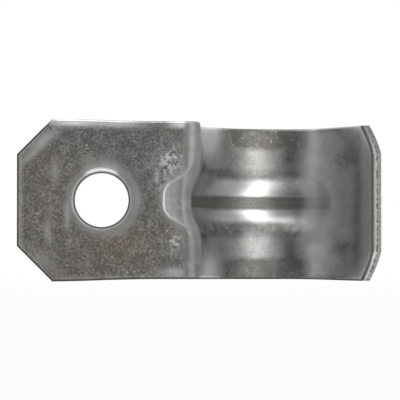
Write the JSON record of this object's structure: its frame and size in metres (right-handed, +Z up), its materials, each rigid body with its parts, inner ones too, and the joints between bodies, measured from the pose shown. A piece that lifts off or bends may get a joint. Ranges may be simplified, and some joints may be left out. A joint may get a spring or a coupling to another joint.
{
  "type": "conduit strap",
  "caption": "One-hole steel strap that holds round conduit against a wall, with a flat screw tab, a round saddle and a pressed stiffening rib.",
  "frame": {"origin": "on the axis of the conduit, half-way across the strap's width", "axes": "+Z up along the conduit, +Y away from the wall, and the screw tab lies towards -X"},
  "size_m": [0.0433, 0.0226, 0.019],
  "materials": {
    "zinc_plated_steel": "zinc plated, mottled and worn"
  },
  "bodies": {
    "root": {"strap": "zinc_plated_steel"}
  },
  "joints": []
}
